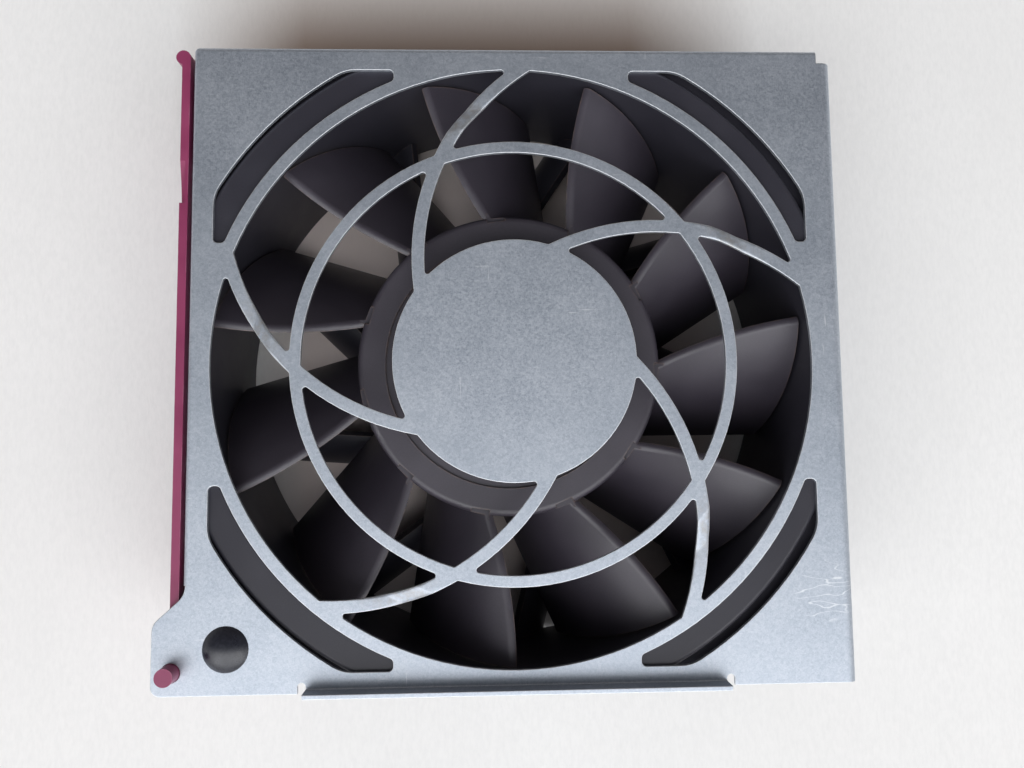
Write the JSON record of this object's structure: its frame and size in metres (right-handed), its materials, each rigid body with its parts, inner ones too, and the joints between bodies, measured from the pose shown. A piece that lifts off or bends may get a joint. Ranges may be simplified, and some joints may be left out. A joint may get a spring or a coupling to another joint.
{
  "type": "server fan module",
  "caption": "Hot-plug axial fan module: black fan in a folded galvanised case with a spiral finger guard, corner slots, a swing-out pull lever and a side connector.",
  "frame": {"origin": "on the fan's axis, at the rear face of the fan frame, midway between its four corner holes", "axes": "+Z along the fan's axis out of the air inlet and guard; +X towards the wall with the connector; +Y away from the lever's pivot and the turned-up lip"},
  "size_m": [0.1301, 0.1222, 0.0432],
  "materials": {
    "galvanised_sheet": "zinc-coated sheet with a fine grey spangle",
    "rivet_plastic": "smooth black nylon",
    "frame_plastic": "black moulded plastic, fine satin",
    "impeller_plastic": "black moulded plastic, satin, a little dusty",
    "lever_plastic": "burgundy moulded plastic with scuffed edges",
    "turned_brass": "turned",
    "bearing_steel": "ground and polished",
    "cage_steel": "stamped, bright",
    "laminated_steel": "stacked laminations",
    "yoke_steel": "drawn, zinc plated",
    "ferrite": "dull pressed ferrite",
    "insulator_plastic": "off-white nylon",
    "enamelled_copper": "enamelled copper wire, wound",
    "board_laminate": "green solder mask over glass laminate",
    "chip_epoxy": "moulded black epoxy",
    "capacitor_can": "drawn can",
    "connector_plastic": "black glass-filled plastic",
    "contact_metal": "gold-flashed"
  },
  "bodies": {
    "module": {"front_case": "galvanised_sheet", "push_rivet": "rivet_plastic", "fan_frame": "frame_plastic", "guide_vanes": "frame_plastic", "bearing_sleeve": "turned_brass", "front_bearing_outer_ring": "bearing_steel", "rear_bearing_outer_ring": "bearing_steel", "stator_core": "laminated_steel", "front_insulator": "insulator_plastic", "rear_insulator": "insulator_plastic", "coil_windings": "enamelled_copper", "circuit_board": "board_laminate", "driver_chip": "chip_epoxy", "hall_sensor": "chip_epoxy", "power_switches": "chip_epoxy", "filter_capacitor": "capacitor_can", "base_plug": "frame_plastic", "connector_housing": "connector_plastic", "connector_contacts": "contact_metal"},
    "rotor": {"impeller": "impeller_plastic", "rotor_yoke": "yoke_steel", "magnet_ring": "ferrite", "shaft_bush": "turned_brass", "shaft": "bearing_steel", "retaining_ring": "cage_steel", "spacer_washer": "cage_steel", "preload_spring": "cage_steel", "front_bearing_inner_ring": "bearing_steel", "rear_bearing_inner_ring": "bearing_steel", "front_bearing_balls": "bearing_steel", "front_bearing_cage": "cage_steel", "rear_bearing_balls": "bearing_steel", "rear_bearing_cage": "cage_steel"},
    "handle": {"handle_lever": "lever_plastic"}
  },
  "joints": [
    {"name": "rotor_spin", "type": "hinge", "parent": "module", "child": "rotor", "pos_m": [0, 0, 0.02], "axis": [0, 0, 1], "continuous": true},
    {"name": "handle_pivot", "type": "hinge", "parent": "module", "child": "handle", "pos_m": [-0.0623, -0.0565, 0.02], "axis": [0, 0, 1], "range_deg": [0, 95]}
  ]
}
